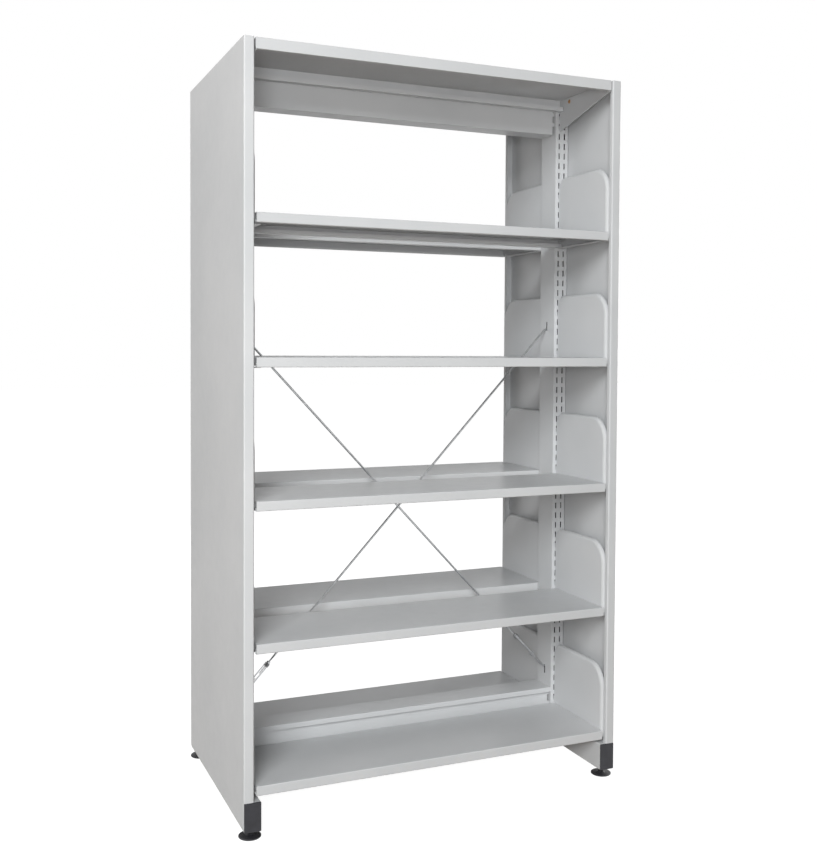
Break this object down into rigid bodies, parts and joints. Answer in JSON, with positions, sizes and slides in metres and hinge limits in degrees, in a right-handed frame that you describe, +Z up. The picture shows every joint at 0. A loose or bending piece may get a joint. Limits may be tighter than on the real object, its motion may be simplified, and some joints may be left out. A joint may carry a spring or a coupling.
{
  "type": "double sided library shelving",
  "caption": "Free-standing double sided library shelving bay with folded end panels, slotted uprights, hook-in shelf brackets on both faces, canopies and a cross brace.",
  "frame": {"origin": "on the floor, under the middle of the bay", "axes": "+Z up, +X along the shelves towards the right-hand end, front face towards -Y"},
  "size_m": [1.107, 0.643, 2],
  "materials": {
    "grey_paint": "satin powder coat",
    "black_plastic": "fine moulded",
    "zinc_plate": "bright zinc plate"
  },
  "bodies": {
    "frame": {"base_cover": "grey_paint", "base_leg_left": "grey_paint", "base_leg_right": "grey_paint", "bottom_beam": "grey_paint", "brace_hook_a": "zinc_plate", "brace_hook_b": "zinc_plate", "brace_rod_a": "zinc_plate", "brace_rod_b": "zinc_plate", "canopy_back": "grey_paint", "canopy_bracket_back_left": "grey_paint", "canopy_bracket_back_right": "grey_paint", "canopy_bracket_front_left": "grey_paint", "canopy_bracket_front_right": "grey_paint", "canopy_front": "grey_paint", "end_panel_left": "grey_paint", "end_panel_right": "grey_paint", "leg_cap_back_left": "black_plastic", "leg_cap_back_right": "black_plastic", "leg_cap_front_left": "black_plastic", "leg_cap_front_right": "black_plastic", "shelf_bracket_back_left_1": "grey_paint", "shelf_bracket_back_left_2": "grey_paint", "shelf_bracket_back_left_3": "grey_paint", "shelf_bracket_back_left_4": "grey_paint", "shelf_bracket_back_left_5": "grey_paint", "shelf_bracket_back_right_1": "grey_paint", "shelf_bracket_back_right_2": "grey_paint", "shelf_bracket_back_right_3": "grey_paint", "shelf_bracket_back_right_4": "grey_paint", "shelf_bracket_back_right_5": "grey_paint", "shelf_bracket_front_left_1": "grey_paint", "shelf_bracket_front_left_2": "grey_paint", "shelf_bracket_front_left_3": "grey_paint", "shelf_bracket_front_left_4": "grey_paint", "shelf_bracket_front_left_5": "grey_paint", "shelf_bracket_front_right_1": "grey_paint", "shelf_bracket_front_right_2": "grey_paint", "shelf_bracket_front_right_3": "grey_paint", "shelf_bracket_front_right_4": "grey_paint", "shelf_bracket_front_right_5": "grey_paint", "top_beam": "grey_paint", "upright_left": "grey_paint", "upright_right": "grey_paint"},
    "shelf_front_1": {"shelf_front_1": "grey_paint"},
    "shelf_front_2": {"shelf_front_2": "grey_paint"},
    "shelf_front_3": {"shelf_front_3": "grey_paint"},
    "shelf_front_4": {"shelf_front_4": "grey_paint"},
    "shelf_front_5": {"shelf_front_5": "grey_paint"},
    "shelf_back_1": {"shelf_back_1": "grey_paint"},
    "shelf_back_2": {"shelf_back_2": "grey_paint"},
    "shelf_back_3": {"shelf_back_3": "grey_paint"},
    "shelf_back_4": {"shelf_back_4": "grey_paint"},
    "shelf_back_5": {"shelf_back_5": "grey_paint"},
    "levelling_foot_front_left": {"levelling_foot_front_left": "black_plastic"},
    "levelling_foot_front_right": {"levelling_foot_front_right": "black_plastic"},
    "levelling_foot_back_left": {"levelling_foot_back_left": "black_plastic"},
    "levelling_foot_back_right": {"levelling_foot_back_right": "black_plastic"},
    "turnbuckle_a": {"turnbuckle_a": "zinc_plate"},
    "turnbuckle_b": {"turnbuckle_b": "zinc_plate"}
  },
  "joints": [
    {"name": "shelf_front_1_lift", "type": "slide", "parent": "frame", "child": "shelf_front_1", "axis": [0, 0, 1], "range_m": [0, 0.15]},
    {"name": "shelf_front_2_lift", "type": "slide", "parent": "frame", "child": "shelf_front_2", "axis": [0, 0, 1], "range_m": [0, 0.15]},
    {"name": "shelf_front_3_lift", "type": "slide", "parent": "frame", "child": "shelf_front_3", "axis": [0, 0, 1], "range_m": [0, 0.15]},
    {"name": "shelf_front_4_lift", "type": "slide", "parent": "frame", "child": "shelf_front_4", "axis": [0, 0, 1], "range_m": [0, 0.15]},
    {"name": "shelf_front_5_lift", "type": "slide", "parent": "frame", "child": "shelf_front_5", "axis": [0, 0, 1], "range_m": [0, 0.15]},
    {"name": "shelf_back_1_lift", "type": "slide", "parent": "frame", "child": "shelf_back_1", "axis": [0, 0, 1], "range_m": [0, 0.15]},
    {"name": "shelf_back_2_lift", "type": "slide", "parent": "frame", "child": "shelf_back_2", "axis": [0, 0, 1], "range_m": [0, 0.15]},
    {"name": "shelf_back_3_lift", "type": "slide", "parent": "frame", "child": "shelf_back_3", "axis": [0, 0, 1], "range_m": [0, 0.15]},
    {"name": "shelf_back_4_lift", "type": "slide", "parent": "frame", "child": "shelf_back_4", "axis": [0, 0, 1], "range_m": [0, 0.15]},
    {"name": "shelf_back_5_lift", "type": "slide", "parent": "frame", "child": "shelf_back_5", "axis": [0, 0, 1], "range_m": [0, 0.15]},
    {"name": "levelling_foot_front_left_screw", "type": "slide", "parent": "frame", "child": "levelling_foot_front_left", "axis": [0, 0, 1], "range_m": [-0.012, 0.009]},
    {"name": "levelling_foot_front_right_screw", "type": "slide", "parent": "frame", "child": "levelling_foot_front_right", "axis": [0, 0, 1], "range_m": [-0.012, 0.009]},
    {"name": "levelling_foot_back_left_screw", "type": "slide", "parent": "frame", "child": "levelling_foot_back_left", "axis": [0, 0, 1], "range_m": [-0.012, 0.009]},
    {"name": "levelling_foot_back_right_screw", "type": "slide", "parent": "frame", "child": "levelling_foot_back_right", "axis": [0, 0, 1], "range_m": [-0.012, 0.009]},
    {"name": "turnbuckle_a_turn", "type": "hinge", "parent": "frame", "child": "turnbuckle_a", "pos_m": [0.42599, -0.0034, 0.31403], "axis": [0.6831, 0, -0.7303], "continuous": true},
    {"name": "turnbuckle_b_turn", "type": "hinge", "parent": "frame", "child": "turnbuckle_b", "pos_m": [-0.42599, 0.0034, 0.31403], "axis": [-0.6831, 0, -0.7303], "continuous": true}
  ]
}
